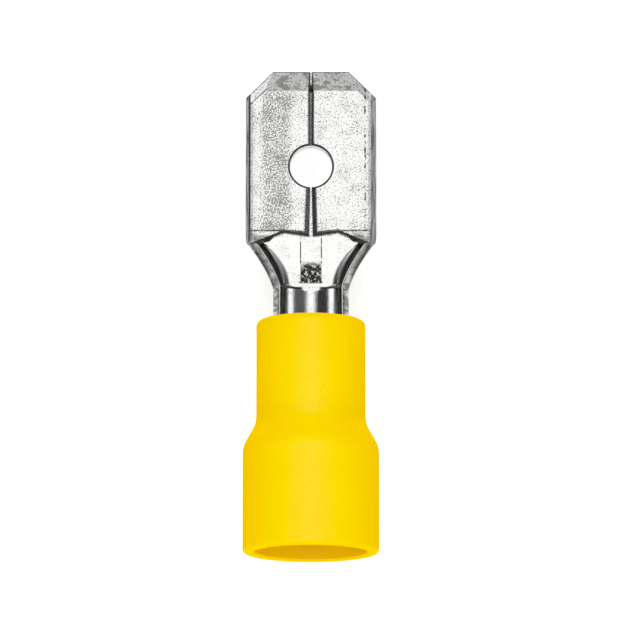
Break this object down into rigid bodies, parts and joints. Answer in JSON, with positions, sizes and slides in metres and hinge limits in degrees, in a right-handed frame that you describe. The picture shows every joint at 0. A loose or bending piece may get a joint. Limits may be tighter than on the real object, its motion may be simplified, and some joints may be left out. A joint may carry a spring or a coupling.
{
  "type": "insulated male tab crimp terminal",
  "caption": "crimp terminal folded from tinned sheet: a flat tab with a hole and a centre seam, an open neck, and a barrel inside a flared yellow insulating sleeve",
  "frame": {"origin": "on the barrel's axis, at the centre of the plane of the wire entry's mouth", "axes": "+Y runs along the terminal from the wire entry to the tab's tip, X runs across the tab's width, and +Z points away from the tab's plain underside, on the side of the centre seam and of the neck's open side"},
  "size_m": [0.0066, 0.024, 0.0066],
  "materials": {
    "tinned_brass": "bright tin plate over brass",
    "yellow_vinyl": "smooth moulded vinyl with a low sheen"
  },
  "bodies": {
    "root": {"terminal": "tinned_brass", "insulating_sleeve": "yellow_vinyl"}
  },
  "joints": []
}
